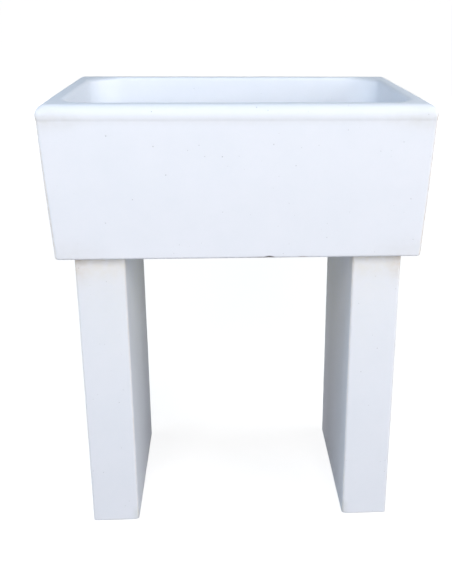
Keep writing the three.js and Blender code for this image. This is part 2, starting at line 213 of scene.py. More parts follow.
def shell(points, looped=True, capped=False):
    """A grid of points of shape (rows, columns, 3) as (points, faces). A capped grid gets a
    flat face over its first and its last row. Faces are turned to point outwards."""
    rows, columns = points.shape[:2]
    flat = points.reshape(-1, 3)
    quads = grid_faces(rows, columns, looped)
    faces = [tuple(face) for face in quads.tolist()]
    first = np.arange(columns)
    last = first + (rows - 1) * columns
    if capped:
        faces.append(tuple(first[::-1].tolist()))
        faces.append(tuple(last.tolist()))
    if signed_volume(flat - flat.mean(axis=0), quads) < 0:
        faces = [face[::-1] for face in faces]
    return flat, faces


def make_piece(name, shells, material, body, nodes):
    """Puts the shells into one mesh at the origin, closes poles by merging equal points, hangs it
    from the empty of the body it rides on, and hides the solids it stands for."""
    points = np.concatenate([shell_points for shell_points, _ in shells])
    faces = []
    start = 0
    for shell_points, shell_faces in shells:
        faces += [tuple(start + k for k in face) for face in shell_faces]
        start += len(shell_points)
    mesh = bpy.data.meshes.new(name)
    mesh.from_pydata(points.tolist(), [], faces)
    merging = bmesh.new()
    merging.from_mesh(mesh)
    bmesh.ops.remove_doubles(merging, verts=merging.verts, dist=MERGE_DISTANCE)
    merging.to_mesh(mesh)
    merging.free()
    mesh.validate()
    mesh.shade_smooth()
    mesh.set_sharp_from_angle(angle=SHARP_ANGLE)
    mesh.materials.append(material)
    piece = bpy.data.objects.new(name, mesh)
    bpy.context.scene.collection.objects.link(piece)
    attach(piece, body)
    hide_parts(*nodes)
    return piece


# ---- Outlines ----

def rounded_path(corners, spacing, closed=False):
    """Points along a path of (x, y, radius) corners. Each corner is an arc that touches both
    of its straight runs: its centre lies on their bisector, radius / sin(half angle) out.
    Straight runs are cut into equal lengths of at most spacing."""
    places = np.array([corner[:2] for corner in corners], float)
    count = len(corners)
    pieces = []
    for index, (x, y, radius) in enumerate(corners):
        here = np.array([x, y], float)
        if radius <= 0 or (not closed and index in (0, count - 1)):
            pieces.append(here[None])
            continue
        back = places[index - 1] - here
        ahead = places[(index + 1) % count] - here
        back /= np.linalg.norm(back)
        ahead /= np.linalg.norm(ahead)
        half = math.acos(np.clip(back @ ahead, -1, 1)) / 2
        centre = here + (back + ahead) / np.linalg.norm(back + ahead) * radius / math.sin(half)
        start = here + back * radius / math.tan(half) - centre
        side = np.sign(back[1] * ahead[0] - back[0] * ahead[1])
        steps = max(3, math.ceil((math.pi - 2 * half) / ARC_STEP))
        turn = side * np.linspace(0, math.pi - 2 * half, steps + 1)
        x_turned = start[0] * np.cos(turn) - start[1] * np.sin(turn)
        y_turned = start[0] * np.sin(turn) + start[1] * np.cos(turn)
        pieces.append(centre + np.stack([x_turned, y_turned], axis=-1))
    path = []
    for index, piece in enumerate(pieces):
        path.append(piece)
        if index == count - 1 and not closed:
            break
        end = piece[-1]
        target = pieces[(index + 1) % count][0]
        cuts = max(1, math.ceil(np.linalg.norm(target - end) / spacing))
        steps = np.arange(1, cuts) / cuts
        path.append(end + steps[:, None] * (target - end))
    return np.concatenate(path)


def rectangular_rings(half_x, half_y, radius, cuts_x, cuts_y, corner_steps):
    """Rings of a rectangle with round corners, one for each entry of the three size arrays,
    as an array (rings, points, 2), counterclockwise. A corner point is the corner circle's
    centre plus radius times the cosine and sine of its angle; the points of a side lie
    evenly between its two corners."""
    sign_x = np.array([1, -1, -1, 1])
    sign_y = np.array([1, 1, -1, -1])

    def corner_point(side, angle):
        x = sign_x[side] * (half_x - radius)[:, None] + radius[:, None] * np.cos(angle)
        y = sign_y[side] * (half_y - radius)[:, None] + radius[:, None] * np.sin(angle)
        return np.stack([x, y], axis=-1)

    parts = []
    for side in range(4):
        quarter = side * math.pi / 2
        parts.append(corner_point(side, quarter + np.linspace(0, math.pi / 2, corner_steps + 1)))
        end = corner_point(side, np.array([quarter + math.pi / 2]))
        start = corner_point((side + 1) % 4, np.array([quarter + math.pi / 2]))
        cuts = cuts_x if side % 2 == 0 else cuts_y
        share = (np.arange(1, cuts) / cuts)[None, :, None]
        parts.append(end + share * (start - end))
    return np.concatenate(parts, axis=1)


def at_heights(rings, heights):
    """Flat rings (rings, points, 2) lifted to their heights, as (rings, points, 3)."""
    z = np.broadcast_to(np.asarray(heights, float)[:, None, None], rings.shape[:2] + (1,))
    return np.concatenate([rings, z], axis=-1)


def grid_normals(points):
    """Unit normals of a grid of points: the cross product of the differences to its
    neighbours round the row and along the column."""
    around = np.roll(points, -1, axis=1) - np.roll(points, 1, axis=1)
    along = np.gradient(points, axis=0)
    normals = np.cross(around, along)
    size = np.linalg.norm(normals, axis=-1, keepdims=True)
    return normals / np.maximum(size, 1e-12)


def drift(points, seed, wavelengths):
    """Smooth drift from 0 to 1 over space: the mean of sines of the place along random
    directions, one for each wavelength, lifted to be positive."""
    random = np.random.default_rng(seed)
    total = np.zeros(points.shape[:-1])
    for wavelength in wavelengths:
        direction = random.normal(size=3)
        direction /= np.linalg.norm(direction)
        total += np.sin(FULL_TURN * (points @ direction / wavelength + random.random()))
    return 0.5 + 0.5 * total / len(wavelengths)


def pressed(points, normals, depth):
    """The points moved against their normals by a depth each."""
    return points - normals * depth[..., None]


def plan(low, high):
    """A box seen from above: its middle, and half its width and depth."""
    middle = np.array([(low.x + high.x) / 2, (low.y + high.y) / 2, 0])
    return middle, (high.x - low.x) / 2, (high.y - low.y) / 2


def dent(points, centre, reach):
    """Bell of height 1 round a centre: e to the minus squared distance over squared reach."""
    distance = np.linalg.norm(points - np.array(centre), axis=-1)
    return np.exp(-((distance / reach) ** 2))


# ---- Turned pieces ----

def turned(outline, steps, looped=True, thread=None):
    """The outline of (radius, height) points turned about the Z axis, as a shell. With a
    thread, the radius falls by depth times half of one minus the cosine of the height over
    the pitch less the share of the turn, between the thread's bottom and top."""
    angle = np.arange(steps) * FULL_TURN / steps
    radius = np.repeat(outline[:, 0][:, None], steps, axis=1)
    z = np.repeat(outline[:, 1][:, None], steps, axis=1)
    if thread is not None:
        pitch, depth, bottom, top, crest = thread
        wave = 0.5 - 0.5 * np.cos(FULL_TURN * z / pitch - angle)
        ends = np.clip((z - bottom) / pitch, 0, 1) * np.clip((top - z) / pitch, 0, 1)
        radius = radius - depth * wave * ends * (radius > crest)
    points = np.stack([radius * np.cos(angle), radius * np.sin(angle), z], axis=-1)
    return shell(points, looped=looped)


def washer_shell(bore, radius, bottom, top, edge):
    """A flat ring with rounded edges."""
    outline = rounded_path(
        [(bore, bottom, edge), (radius, bottom, edge), (radius, top, edge), (bore, top, edge)],
        4 * MM, closed=True,
    )
    return turned(outline, ROUND_STEPS)


def nut_shell(flats, bore_outline, bottom, top):
    """A hexagonal nut. Its outside is the hexagon, half the flats over the cosine of the
    angle from the nearest flat's middle, but never past a cone that rises from the face at
    30 degrees and cuts the corners. Its bore is an outline of (radius, height) points."""
    steps = 3 * ROUND_STEPS
    angle = np.arange(steps) * FULL_TURN / steps
    from_flat = (angle + math.pi / 6) % (math.pi / 3) - math.pi / 6
    hexagon = flats / 2 / np.cos(from_flat)
    face_radius = 0.955 * flats / 2
    cut = 0.16  # share of the height at each end that is cut finely for the cone
    heights = np.concatenate([
        np.linspace(0, cut, 9), np.linspace(cut, 1 - cut, 7)[1:-1], np.linspace(1 - cut, 1, 9),
    ]) * (top - bottom) + bottom
    rise = np.minimum(heights - bottom, top - heights)
    cone = face_radius + rise * math.sqrt(3)
    sharp = np.minimum(hexagon[None, :], cone[:, None])
    outside = np.maximum(sharp, face_radius)
    bore_radius = np.repeat(bore_outline[:, 0][:, None], len(angle), axis=1)
    radius = np.concatenate([outside, bore_radius])
    z = np.concatenate([heights, bore_outline[:, 1]])[:, None] + 0 * radius
    points = np.stack([radius * np.cos(angle), radius * np.sin(angle), z], axis=-1)
    return shell(points)


def wire_loop(radius, wire, centre, axis_u, axis_v, joint=0.0):
    """A wire bent round a circle in the plane of two unit axes: the centre, plus radius along
    the turning spoke, plus wire along the spoke and the plane's normal turned round the
    wire. A joint pinches the wire by that share where its two ends meet."""
    ring_steps, wire_steps = 120, 28
    around = np.arange(ring_steps) * FULL_TURN / ring_steps
    across = np.arange(wire_steps) * FULL_TURN / wire_steps
    axis_u, axis_v = np.array(axis_u, float), np.array(axis_v, float)
    normal = np.cross(axis_u, axis_v)
    spoke = np.cos(around)[:, None] * axis_u + np.sin(around)[:, None] * axis_v
    thickness = np.full(len(around), wire)
    thickness[0] *= 1 - joint
    ring = spoke[:, None, :] * np.cos(across)[None, :, None] + normal * np.sin(across)[:, None]
    points = np.array(centre) + radius * spoke[:, None, :] + thickness[:, None, None] * ring
    return shell(points)


# ---- Materials ----

# numbers of sockets, where a node holds more than one of the same name
FROM_LOW, FROM_HIGH, TO_LOW, TO_HIGH = 1, 2, 3, 4  # inputs of Map Range
SHARE, FIRST, SECOND = 0, 6, 7  # inputs of Mix, for colours
MIXED = 2  # its output

# A mark in the skin: a stain, or painted shade where light falls less. A stretch below 1
# along an axis makes it longer that way, its reach is in mm, its strength holds at its
# centre, and its colour is sRGB hex.
StainOrShade = namedtuple("StainOrShade", "centre stretch reach strength tint")


def add(tree, kind, inputs=None, **options):
    """Adds a shader node, with its options, and gives each input a value or a link."""
    made = tree.nodes.new("ShaderNode" + kind)
    for name, value in options.items():
        setattr(made, name, value)
    for name, value in (inputs or {}).items():
        if isinstance(value, bpy.types.NodeSocket):
            tree.links.new(value, made.inputs[name])
        else:
            made.inputs[name].default_value = value
    return made


def opaque(rgb):
    """A colour with full alpha."""
    return (*rgb, 1.0)


def shaded(rgb, factor):
    """A colour times a factor, with full alpha."""
    return opaque(min(1.0, channel * factor) for channel in rgb)


def new_finish(name, **surface):
    """A material with its shader's constants set, its node tree, its shader and its
    object coordinates."""
    material = bpy.data.materials.new(name)
    material.use_nodes = True
    tree = material.node_tree
    shader = tree.nodes["Principled BSDF"]
    for key, value in surface.items():
        shader.inputs[key.replace("_", " ")].default_value = value
    place = add(tree, "TexCoord").outputs["Object"]
    return material, tree, shader, place


def connect(tree, shader, skin, roughness, relief=None):
    """Links a finish's colour, roughness and bumped normal to its shader."""
    sockets = {"Base Color": skin, "Roughness": roughness, "Normal": relief}
    for name, socket in sockets.items():
        if socket is not None:
            tree.links.new(socket, shader.inputs[name])


def pinholes(tree, place):
    """One in a pinhole and nought on the skin. Pinholes are up to 2 mm across, in cells of
    10 mm: the cell's own random value sets the size of its pinhole, if it has one."""
    cells = add(tree, "TexVoronoi", {"Vector": place, "Scale": 1 / (10 * MM)})
    chance = add(tree, "SeparateColor", {0: cells.outputs["Color"]}).outputs[0]
    reach = add(tree, "MapRange", {
        "Value": chance, FROM_LOW: 0.62, FROM_HIGH: 1.0, TO_LOW: 0.0, TO_HIGH: 0.12,
    })
    inside = add(tree, "Math", {
        0: reach.outputs[0], 1: cells.outputs["Distance"],
    }, operation="SUBTRACT")
    pit = add(tree, "MapRange", {"Value": inside.outputs[0], FROM_LOW: 0.0, FROM_HIGH: 0.04})
    return pit.outputs[0]


def marked(tree, place, skin, marks):
    """The skin with marks on it: (centre, shape, reach in mm, strength, linear colour,
    measure). A mark fades out smoothly with the length of the way from its centre times its
    shape, and breaks up in a noise of 12 mm. MULTIPLY makes a spot of that stretch, and
    CROSS_PRODUCT makes a line along that direction."""
    ragged = add(tree, "TexNoise", {"Vector": place, "Scale": 1 / (12 * MM), "Detail": 3.0})
    broken = add(tree, "MapRange", {
        "Value": ragged.outputs[0], FROM_LOW: 0.3, FROM_HIGH: 0.7, TO_LOW: 0.55, TO_HIGH: 1.15,
    })
    for centre, shape, reach, strength, tint, measure in marks:
        moved = add(tree, "VectorMath", {0: place, 1: centre}, operation="SUBTRACT")
        shaped = add(tree, "VectorMath", {0: moved.outputs[0], 1: shape}, operation=measure)
        away = add(tree, "VectorMath", {0: shaped.outputs[0]}, operation="LENGTH")
        fading = add(tree, "MapRange", {
            "Value": away.outputs["Value"], FROM_LOW: 0.0, FROM_HIGH: reach * MM,
            TO_LOW: strength, TO_HIGH: 0.0,
        }, interpolation_type="SMOOTHSTEP")
        share = add(tree, "Math", {
            0: fading.outputs[0], 1: broken.outputs[0],
        }, operation="MULTIPLY")
        skin = add(tree, "Mix", {
            SHARE: share.outputs[0], FIRST: skin, SECOND: opaque(tint),
        }, data_type="RGBA").outputs[MIXED]
    return skin


def cast_relief(tree, place, pit):
    """The normal of a cast face: trowel waves of 30 mm, a grain of 1.6 mm, which is as fine
    as shows, and the pinholes."""
    waves = add(tree, "TexNoise", {"Vector": place, "Scale": 1 / (30 * MM), "Detail": 1.0})
    waved = add(tree, "Bump", {"Height": waves.outputs[0], "Strength": 0.35, "Distance": 0.4 * MM})
    grain = add(tree, "TexNoise", {"Vector": place, "Scale": 1 / (1.6 * MM), "Detail": 3.0})
    grained = add(tree, "Bump", {
        "Height": grain.outputs[0], "Strength": 0.25, "Distance": 0.12 * MM,
        "Normal": waved.outputs[0],
    })
    pitted = add(tree, "Bump", {
        "Height": pit, "Strength": 0.8, "Distance": 0.8 * MM, "Normal": grained.outputs[0],
    }, invert=True)
    return pitted.outputs[0]


def white_cast_stone(name, stains_and_shade, arrises):
    """Cast stone with a sealed satin face. The eye gets an even cool white with faint greyer
    drifts of 130 mm, pinholes that the mould left with shade painted in them, a soft sheen
    broken by a fine grain, the dirt that this casting has picked up, painted shade along
    edges, in a crease and under the bowl where light falls less, and warmer arrises where it
    is rubbed, each given as (a point on it, its direction)."""
    colours = settings("sink_colours")
    material, tree, shader, place = new_finish(name, Specular_IOR_Level=0.25)
    drifts = add(tree, "TexNoise", {
        "Vector": place, "Scale": 1 / (130 * MM), "Detail": 6.0, "Roughness": 0.72,
    })
    cloud = add(tree, "MapRange", {
        "Value": drifts.outputs[0], FROM_LOW: 0.36, FROM_HIGH: 0.66,
    })
    skin = add(tree, "Mix", {
        SHARE: cloud.outputs[0], FIRST: opaque(colours.cast), SECOND: opaque(colours.cast_cloud),
    }, data_type="RGBA").outputs[MIXED]
    pit = pinholes(tree, place)
    shade = add(tree, "Math", {0: pit, 1: 0.55}, operation="MULTIPLY")
    skin = add(tree, "Mix", {
        SHARE: shade.outputs[0], FIRST: skin, SECOND: opaque(colours.pit),
    }, data_type="RGBA").outputs[MIXED]
    rub_reach, rub_strength = 4.5, 0.7
    # these marks are dirt and painted shade
    marks = [(*spot, linear(tint), "MULTIPLY") for *spot, tint in stains_and_shade]
    marks += [(point, along, rub_reach, rub_strength, colours.rubbed, "CROSS_PRODUCT")
              for point, along in arrises]
    skin = marked(tree, place, skin, marks)

    sheen = add(tree, "TexNoise", {"Vector": place, "Scale": 1 / (35 * MM), "Detail": 3.0})
    rough = add(tree, "MapRange", {
        "Value": sheen.outputs[0], FROM_LOW: 0.3, FROM_HIGH: 0.7, TO_LOW: 0.62, TO_HIGH: 0.74,
    })
    connect(tree, shader, skin, rough.outputs[0], cast_relief(tree, place, pit))
    return material


def trowelled_mortar(name, mortar):
    """Trowelled cement mortar: a dull warm grey with sand grains of about 1 mm."""
    material, tree, shader, place = new_finish(name, Specular_IOR_Level=0.25)
    sand = add(tree, "TexVoronoi", {"Vector": place, "Scale": 1 / (1.1 * MM)})
    grain = add(tree, "SeparateColor", {0: sand.outputs["Color"]}).outputs[0]
    skin = add(tree, "Mix", {
        SHARE: grain, FIRST: shaded(mortar, 0.7), SECOND: shaded(mortar, 1.25),
    }, data_type="RGBA")
    rough = add(tree, "MapRange", {"Value": grain, TO_LOW: 0.8, TO_HIGH: 0.98})
    bump = add(tree, "Bump", {"Height": sand.outputs["Distance"], "Distance": 0.5 * MM})
    connect(tree, shader, skin.outputs[MIXED], rough.outputs[0], bump.outputs[0])
    return material


def hot_dipped(name, zinc):
    """Hot-dip galvanised steel: flat grey crystals of zinc about 5 mm across."""
    material, tree, shader, place = new_finish(name, Metallic=1.0)
    crystals = add(tree, "TexVoronoi", {"Vector": place, "Scale": 1 / (5 * MM)})
    crystal = add(tree, "SeparateColor", {0: crystals.outputs["Color"]}).outputs[0]
    skin = add(tree, "Mix", {
        SHARE: crystal, FIRST: shaded(zinc, 0.72), SECOND: opaque(zinc),
    }, data_type="RGBA")
    rough = add(tree, "MapRange", {"Value": crystal, TO_LOW: 0.34, TO_HIGH: 0.55})
    connect(tree, shader, skin.outputs[MIXED], rough.outputs[0])
    return material


def plated(name, metal, polished, spotted, tarnish):
    """Polished metal with a film of hard-water spots about 6 mm across, duller where they
    dried, and a shade of tarnish between them. Its roughness goes from polished to spotted."""
    material, tree, shader, place = new_finish(name, Metallic=1.0)
    spots = add(tree, "TexNoise", {"Vector": place, "Scale": 1 / (6 * MM), "Detail": 4.0})
    film = add(tree, "MapRange", {
        "Value": spots.outputs[0], FROM_LOW: 0.42, FROM_HIGH: 0.72,
    }).outputs[0]
    skin = add(tree, "Mix", {
        SHARE: film, FIRST: opaque(metal), SECOND: shaded(metal, tarnish),
    }, data_type="RGBA")
    rough = add(tree, "MapRange", {"Value": film, TO_LOW: polished, TO_HIGH: spotted})
    lines = add(tree, "TexNoise", {"Vector": place, "Scale": 1 / (0.8 * MM), "Detail": 2.0})
    bump = add(tree, "Bump", {"Height": lines.outputs[0], "Strength": 0.1, "Distance": 0.05 * MM})
    connect(tree, shader, skin.outputs[MIXED], rough.outputs[0], bump.outputs[0])
    return material


def moulded(name, base, roughness, bloom, grain_size):
    """A moulded or pressed soft material: a dull even colour with a pale bloom in drifts of
    9 mm and a fine grain, whose size is in mm."""
    material, tree, shader, place = new_finish(name, Specular_IOR_Level=0.4)
    drifts = add(tree, "TexNoise", {
        "Vector": place, "Scale": 1 / (9 * MM), "Detail": 4.0,
    }).outputs[0]
    dusty = opaque(channel + bloom * (1 - channel) for channel in base)
    skin = add(tree, "Mix", {
        SHARE: drifts, FIRST: opaque(base), SECOND: dusty,
    }, data_type="RGBA")
    rough = add(tree, "MapRange", {
        "Value": drifts, TO_LOW: roughness - 0.1, TO_HIGH: roughness + 0.1,
    })
    grain = add(tree, "TexNoise", {"Vector": place, "Scale": 1 / (grain_size * MM), "Detail": 2.0})
    bump = add(tree, "Bump", {"Height": grain.outputs[0], "Strength": 0.4, "Distance": 0.1 * MM})
    connect(tree, shader, skin.outputs[MIXED], rough.outputs[0], bump.outputs[0])
    return material


def shared_finish(name):
    """A finish that several pieces share, made the first time it is asked for."""
    if name in bpy.data.materials:
        return bpy.data.materials[name]
    colours = settings("sink_colours")
    makers = {
        "bright_chrome_plate": (plated, colours.chrome, 0.07, 0.2, 0.93),
        "cast_brass": (plated, colours.brass, 0.26, 0.46, 0.7),
        "black_rubber": (moulded, colours.rubber, 0.6, 0.03, 1.2),
        "vulcanised_fibre": (moulded, colours.fibre, 0.75, 0.05, 0.8),
        "galvanised_steel": (hot_dipped, colours.zinc),
        "cement_mortar": (trowelled_mortar, colours.mortar),
    }
    maker, *look = makers[name]
    return maker(name, *look)


def make_fitting(name, shells, finish, body, node):
    """Makes a piece in a shared finish that stands for one solid."""
    make_piece(name, shells, shared_finish(finish), body, [node])


# ---- The bowl's shape and marks ----

# heights about the foot of the rim's band where the outer face is cut finely
BAND_CUTS = np.array([-9, -7, -5.5, -4.2, -3, -2, -1, 0, 1, 2, 3, 4, 5]) * MM
BOWL_SEED, BOWL_WAVES = 4, (0.41, 0.27, 0.19, 0.13, 0.083)  # wavelengths in metres


def bowl_section(size, underside, rim):
    """The wall's section as (inset, height) points, from the underside up the outer face,
    over the rim and down the inner wall to the floor. The outer face is upright along the
    rim's band, and below it the inset grows in proportion to the drop."""
    foot = underside + size.floor_thickness + size.floor_fall
    wall_inset = size.rim_width + size.inner_draft
    band_foot = rim - size.rim_band
    lean = size.outer_draft / (band_foot - underside)
    under_ledge, floor_ledge = 40 * MM, 10 * MM
    return rounded_path([
        (size.outer_draft + under_ledge, underside, 0),
        (size.outer_draft, underside, size.arris),
        *((lean * max(-cut, 0), band_foot + cut, 0) for cut in BAND_CUTS.tolist()),
        (0, rim, size.rim_outer_round),
        (size.rim_width, rim, size.rim_inner_round),
        (wall_inset, foot, size.cove),
        (wall_inset + size.cove + floor_ledge, foot, 0),
    ], size.facet)


def bowl_corners(size, inset, z, underside, rim):
    """Each ring's corner radius, seen from above. It goes evenly from the outer to the inner
    corner between the rim's crest and its inner edge. In the basin it is the inner corner,
    and shrinks by as much as the cove takes a ring in from the wall."""
    crest = size.rim_outer_round
    across = np.clip((inset - crest) / (size.rim_width - crest), 0, 1)
    on_rim = size.outer_corner + (size.inner_corner - size.outer_corner) * across
    from_wall = inset - (size.rim_width + 0.9 * size.inner_draft)
    in_basin = np.clip(size.inner_corner - from_wall, size.outer_corner, size.inner_corner)
    basin = (inset > size.rim_width) & (z > underside + size.floor_thickness)
    return np.select([z > rim - size.rim_band, basin], [on_rim, in_basin], size.outer_corner)


def drain_section(size, underside):
    """The hole for the waste as (radius, height) points, from the floor down: a recess for
    the flange, and the hole itself."""
    floor = underside + size.floor_thickness
    recess = floor - size.rebate_depth
    ledge = 4 * MM
    return rounded_path([
        (size.rebate_radius + ledge, floor, 0),
        (size.rebate_radius, floor, 1.2 * MM),
        (size.rebate_radius, recess, 1 * MM),
        (size.hole_radius, recess, 1 * MM),
        (size.hole_radius, underside, 1.2 * MM),
        (size.hole_radius + ledge, underside, 0),
    ], size.facet)


def between(start, end, count):
    """Rings that change evenly from one to another, without the two themselves."""
    share = (np.arange(1, count) / count)[:, None, None]
    return start + share * (end - start)


def bowl_grid(size, low, high):
    """The bowl as one closed grid of rings. The wall's section is carried round rectangles
    with round corners. From the innermost one the floor changes evenly to the drain's circle,
    whose points lie in the same directions, and the underside changes back."""
    section = bowl_section(size, low.z, high.z)
    inset, z = section[:, 0], section[:, 1]
    rings = rectangular_rings(
        high.x - inset, high.y - inset, bowl_corners(size, inset, z, low.z, high.z),
        cuts_x=math.ceil((high.x - low.x) / size.facet),
        cuts_y=math.ceil((high.y - low.y) / size.facet),
        corner_steps=12,
    )
    walls = at_heights(rings, z)
    direction = rings[-1] / np.linalg.norm(rings[-1], axis=-1, keepdims=True)
    drain = drain_section(size, low.z)
    drain_rings = at_heights(drain[:, 0, None, None] * direction, drain[:, 1])
    floor_rings = between(walls[-1], drain_rings[0], count=34)
    under_rings = between(drain_rings[-1], walls[0], count=30)
    return np.concatenate([walls, floor_rings, drain_rings, under_rings])


def bowl_stray(size, points, underside):
    """How far the faces stray inwards: the wander times a drift over space. It grows from
    nought over the first 12 mm above the underside, and from 60 to 120 mm from the waste."""
    above = np.clip((points[..., 2] - underside) / (12 * MM), 0, 1)
    beyond = np.clip(np.linalg.norm(points[..., :2], axis=-1) / (60 * MM) - 1, 0, 1)
    return size.wander * above * beyond * drift(points, BOWL_SEED, BOWL_WAVES)


def band_depth(size, points, high):
    """How far the outer face goes in under the rim's band. Half of the step's depth comes
    with the square of the way down 16 mm of curve from 13 mm above the band's foot, and half
    with a smooth step of 6.5 mm from 2.5 mm above it. It fades over 120 mm below the foot,
    and holds for the points within 16 mm of the outside, fading by 24 mm."""
    drop = high.z - size.rim_band - points[..., 2]
    curve = np.clip((drop + 13 * MM) / (16 * MM), 0, 1)
    step = np.clip((drop + 2.5 * MM) / (6.5 * MM), 0, 1)
    share = 0.5 * curve ** 2 + 0.5 * step ** 2 * (3 - 2 * step)
    fade = np.clip(1 - drop / (120 * MM), 0, 1)
    inside = np.minimum(high.x - np.abs(points[..., 0]), high.y - np.abs(points[..., 1]))
    outer = np.clip((24 * MM - inside) / (8 * MM), 0, 1)
    return size.band_step * outer * share * fade


def bowl_stains_and_shade(size, low, high, chip):
    """Marks on the front of the bowl: a grey line of painted shade along the rounded lower edge,
    the brown chip and two smears along that edge, a faint line of painted shade in the crease
    under the band, and duller patches at both ends."""
    front = low.y + size.outer_draft
    crease = high.z - size.rim_band
    stains_and_shade = [
        # painted shade: a thin grey line along the lower edge, where it rounds away from the light
        StainOrShade((0, front, low.z), (0.008, 1, 1), 5, 0.35, 0xA8A8AC),
        StainOrShade(chip, (0.6, 1, 1.6), 8, 2.3, 0x3C3632),
        StainOrShade((44 * MM, front, low.z), (0.09, 1, 1.3), 6, 0.8, 0x86807C),
        StainOrShade((115 * MM, front, low.z), (0.4, 1, 1.3), 6, 0.9, 0x9C8682),
        # painted shade: a faint grey line in the crease under the band
        StainOrShade((0, low.y, crease - 3 * MM), (0.01, 1, 1), 11, 0.12, 0xD2D2CE),
    ]
    for side in (-1, 1):
        stains_and_shade += [
            StainOrShade((side * 330 * MM, low.y, crease), (0.35, 1, 1), 34, 0.28, 0xD4D2CC),
            StainOrShade((side * 310 * MM, front, low.z), (0.5, 1, 1), 55, 0.2, 0xD2D0CC),
        ]
    return stains_and_shade


def bowl_arrises(size, low, high):
    """The bowl's four leaning corners, each as (a point on it, its direction)."""
    band_foot = high.z - size.rim_band
    corner = 2 * MM  # from the box's edge to the rounded corner
    arrises = []
    for side in (-1, 1):
        for end in (-1, 1):
            fall = Vector((-side * size.outer_draft, -end * size.outer_draft, low.z - band_foot))
            point = (side * (high.x - corner), end * (high.y - corner), band_foot)
            arrises.append((point, fall.normalized()))
    return arrises


# ---- The legs' shape and marks ----

LEG_WAVES = (0.37, 0.23, 0.15, 0.09, 0.06)  # wavelengths in metres of a face's stray
CORNER_WAVES = (0.21, 0.09, 0.05)  # and of the wear of the upright corners


def leg_grid(size, low, high, seed):
    """A slab leg as rings round the middle of its box, from foot to head: rectangles whose
    corners' radius drifts by a quarter either way with the height, drawn in at both ends."""
    ledge, least_radius = 12 * MM, 1.5 * MM
    section = rounded_path([
        (ledge, low.z, 0), (0, low.z, size.arris),
        (0, high.z, size.arris), (ledge, high.z, 0),
    ], size.facet)
    inset, z = section[:, 0], section[:, 1]
    worn = 0.75 + 0.5 * drift(np.stack([z, z, z], axis=-1), seed + 20, CORNER_WAVES)
    radius = np.maximum(size.corner * worn - inset, least_radius)
    middle, half_x, half_y = plan(low, high)
    rings = rectangular_rings(
        half_x - inset, half_y - inset, radius, cuts_x=math.ceil(2 * half_x / size.facet),
        cuts_y=math.ceil(2 * half_y / size.facet), corner_steps=8,
    )
    return at_heights(rings, z) + middle


def leg_stray(size, points, low, high, seed):
    """How far a leg's faces stray inwards: the wander times a drift over space, growing from
    nought over the last 10 mm under the head and over the first 4 mm above the foot."""
    clear = np.clip((high.z - points[..., 2]) / (10 * MM), 0, 1)
    clear *= np.clip((points[..., 2] - low.z) / (4 * MM), 0, 1)
    return size.wander * clear * drift(points, seed + 8, LEG_WAVES)


def leg_stains_and_shade(low, high, inner_x, outer_x):
    """Marks on a leg: under the bowl a warm darkening and a thin brown line, each a warm stain
    with painted shade from the bowl's overhang, a warmer white down the back of its inner
    side, a brown patch at its outer head, and two at its foot."""
    middle = (low.x + high.x) / 2
    return [
        # under the bowl: a warm stain with painted shade where the bowl's overhang shades the head
        StainOrShade((middle, low.y, high.z), (0.1, 1, 1), 60, 0.5, 0xE4DED0),
        StainOrShade((middle, low.y, high.z), (0.1, 1, 1), 14, 0.5, 0xD8C6A8),
        StainOrShade((inner_x, high.y, high.z), (1, 0.5, 0.5), 250, 0.8, 0xECEDE2),
        StainOrShade((outer_x, low.y, high.z), (1, 0.4, 0.5), 40, 0.4, 0xCDBFAE),
        StainOrShade((inner_x, low.y, low.z + 14 * MM), (1, 1, 0.6), 17, 0.4, 0xC4C8BC),
        StainOrShade((middle + 8 * MM, low.y, low.z), (0.25, 1, 2.2), 13, 0.4, 0xC8C4B8),
    ]


# ---- The waste's and the plug's shapes ----

def grating(size, top):
    """Crossed bars in the tube, as rings from their underside up. Each ring is a cross of
    four arms with filleted inner corners, drawn in towards the middle along the bars' edges."""
    reach = (size.tube_bore + size.tube_radius) / 2  # the bars end inside the tube's wall
    half = size.bar_width / 2
    fillet = 1.5 * MM
    arms = []
    for quarter in range(4):
        turn = quarter * math.pi / 2
        along = np.array([math.cos(turn), math.sin(turn)])
        aside = np.array([-along[1], along[0]])
        for u, v, radius in ((half, -half, fillet), (reach, -half, 0), (reach, half, 0)):
            arms.append((*(along * u + aside * v), radius))
    cross = rounded_path(arms, 2 * MM, closed=True)
    direction = cross / np.linalg.norm(cross, axis=-1, keepdims=True)
    drawn_in = np.array([0.7, 0.2, 0, 0, 0.2, 0.7]) * MM
    level = np.array([-1, -0.86, -0.7, 0.7, 0.86, 1]) - 1
    rings = cross[None] - drawn_in[:, None, None] * direction[None]
    heights = top - size.grating_drop + level * size.bar_height / 2
    return shell(at_heights(rings, heights), looped=False, capped=True)


def plain_bore(radius, lead, bottom, top):
    """A bore as (radius, height) points from the top down, with a chamfer at both mouths."""
    return np.array([
        (radius + lead, top), (radius, top - lead),
        (radius, bottom + lead), (radius + lead, bottom),
    ])


def rubber_section(size, waste, low, high, flange_top):
    """The plug's rubber as (radius, height) points: a cone that fills the waste's seat, under
    a lip with a groove in its top."""
    hole = size.stem_radius + waste.fit_gap
    lip = high.z - size.lip_thickness
    groove_floor = high.z - 0.8 * MM
    groove_inside, groove_outside, groove_slope = 15.5 * MM, 19 * MM, 1 * MM
    return rounded_path([
        (hole, low.z, 0.3 * MM),
        (waste.tube_bore - 2 * waste.fit_gap, low.z, 0.8 * MM),
        (waste.tube_bore - waste.fit_gap, flange_top - waste.seat_depth, 1 * MM),
        (waste.seat_radius - waste.fit_gap, flange_top, 0),
        (waste.seat_radius - waste.fit_gap, lip, 0.2 * MM),
        (high.x, lip, 0.8 * MM),
        (high.x - size.lip_thickness / 2, high.z, 1.2 * MM),
        (groove_outside, high.z, 0.3 * MM),
        (groove_outside - groove_slope, groove_floor, 0.4 * MM),
        (groove_inside + groove_slope, groove_floor, 0.4 * MM),
        (groove_inside, high.z, 0.3 * MM),
        (hole, high.z, 0.3 * MM),
    ], 2 * MM, closed=True)


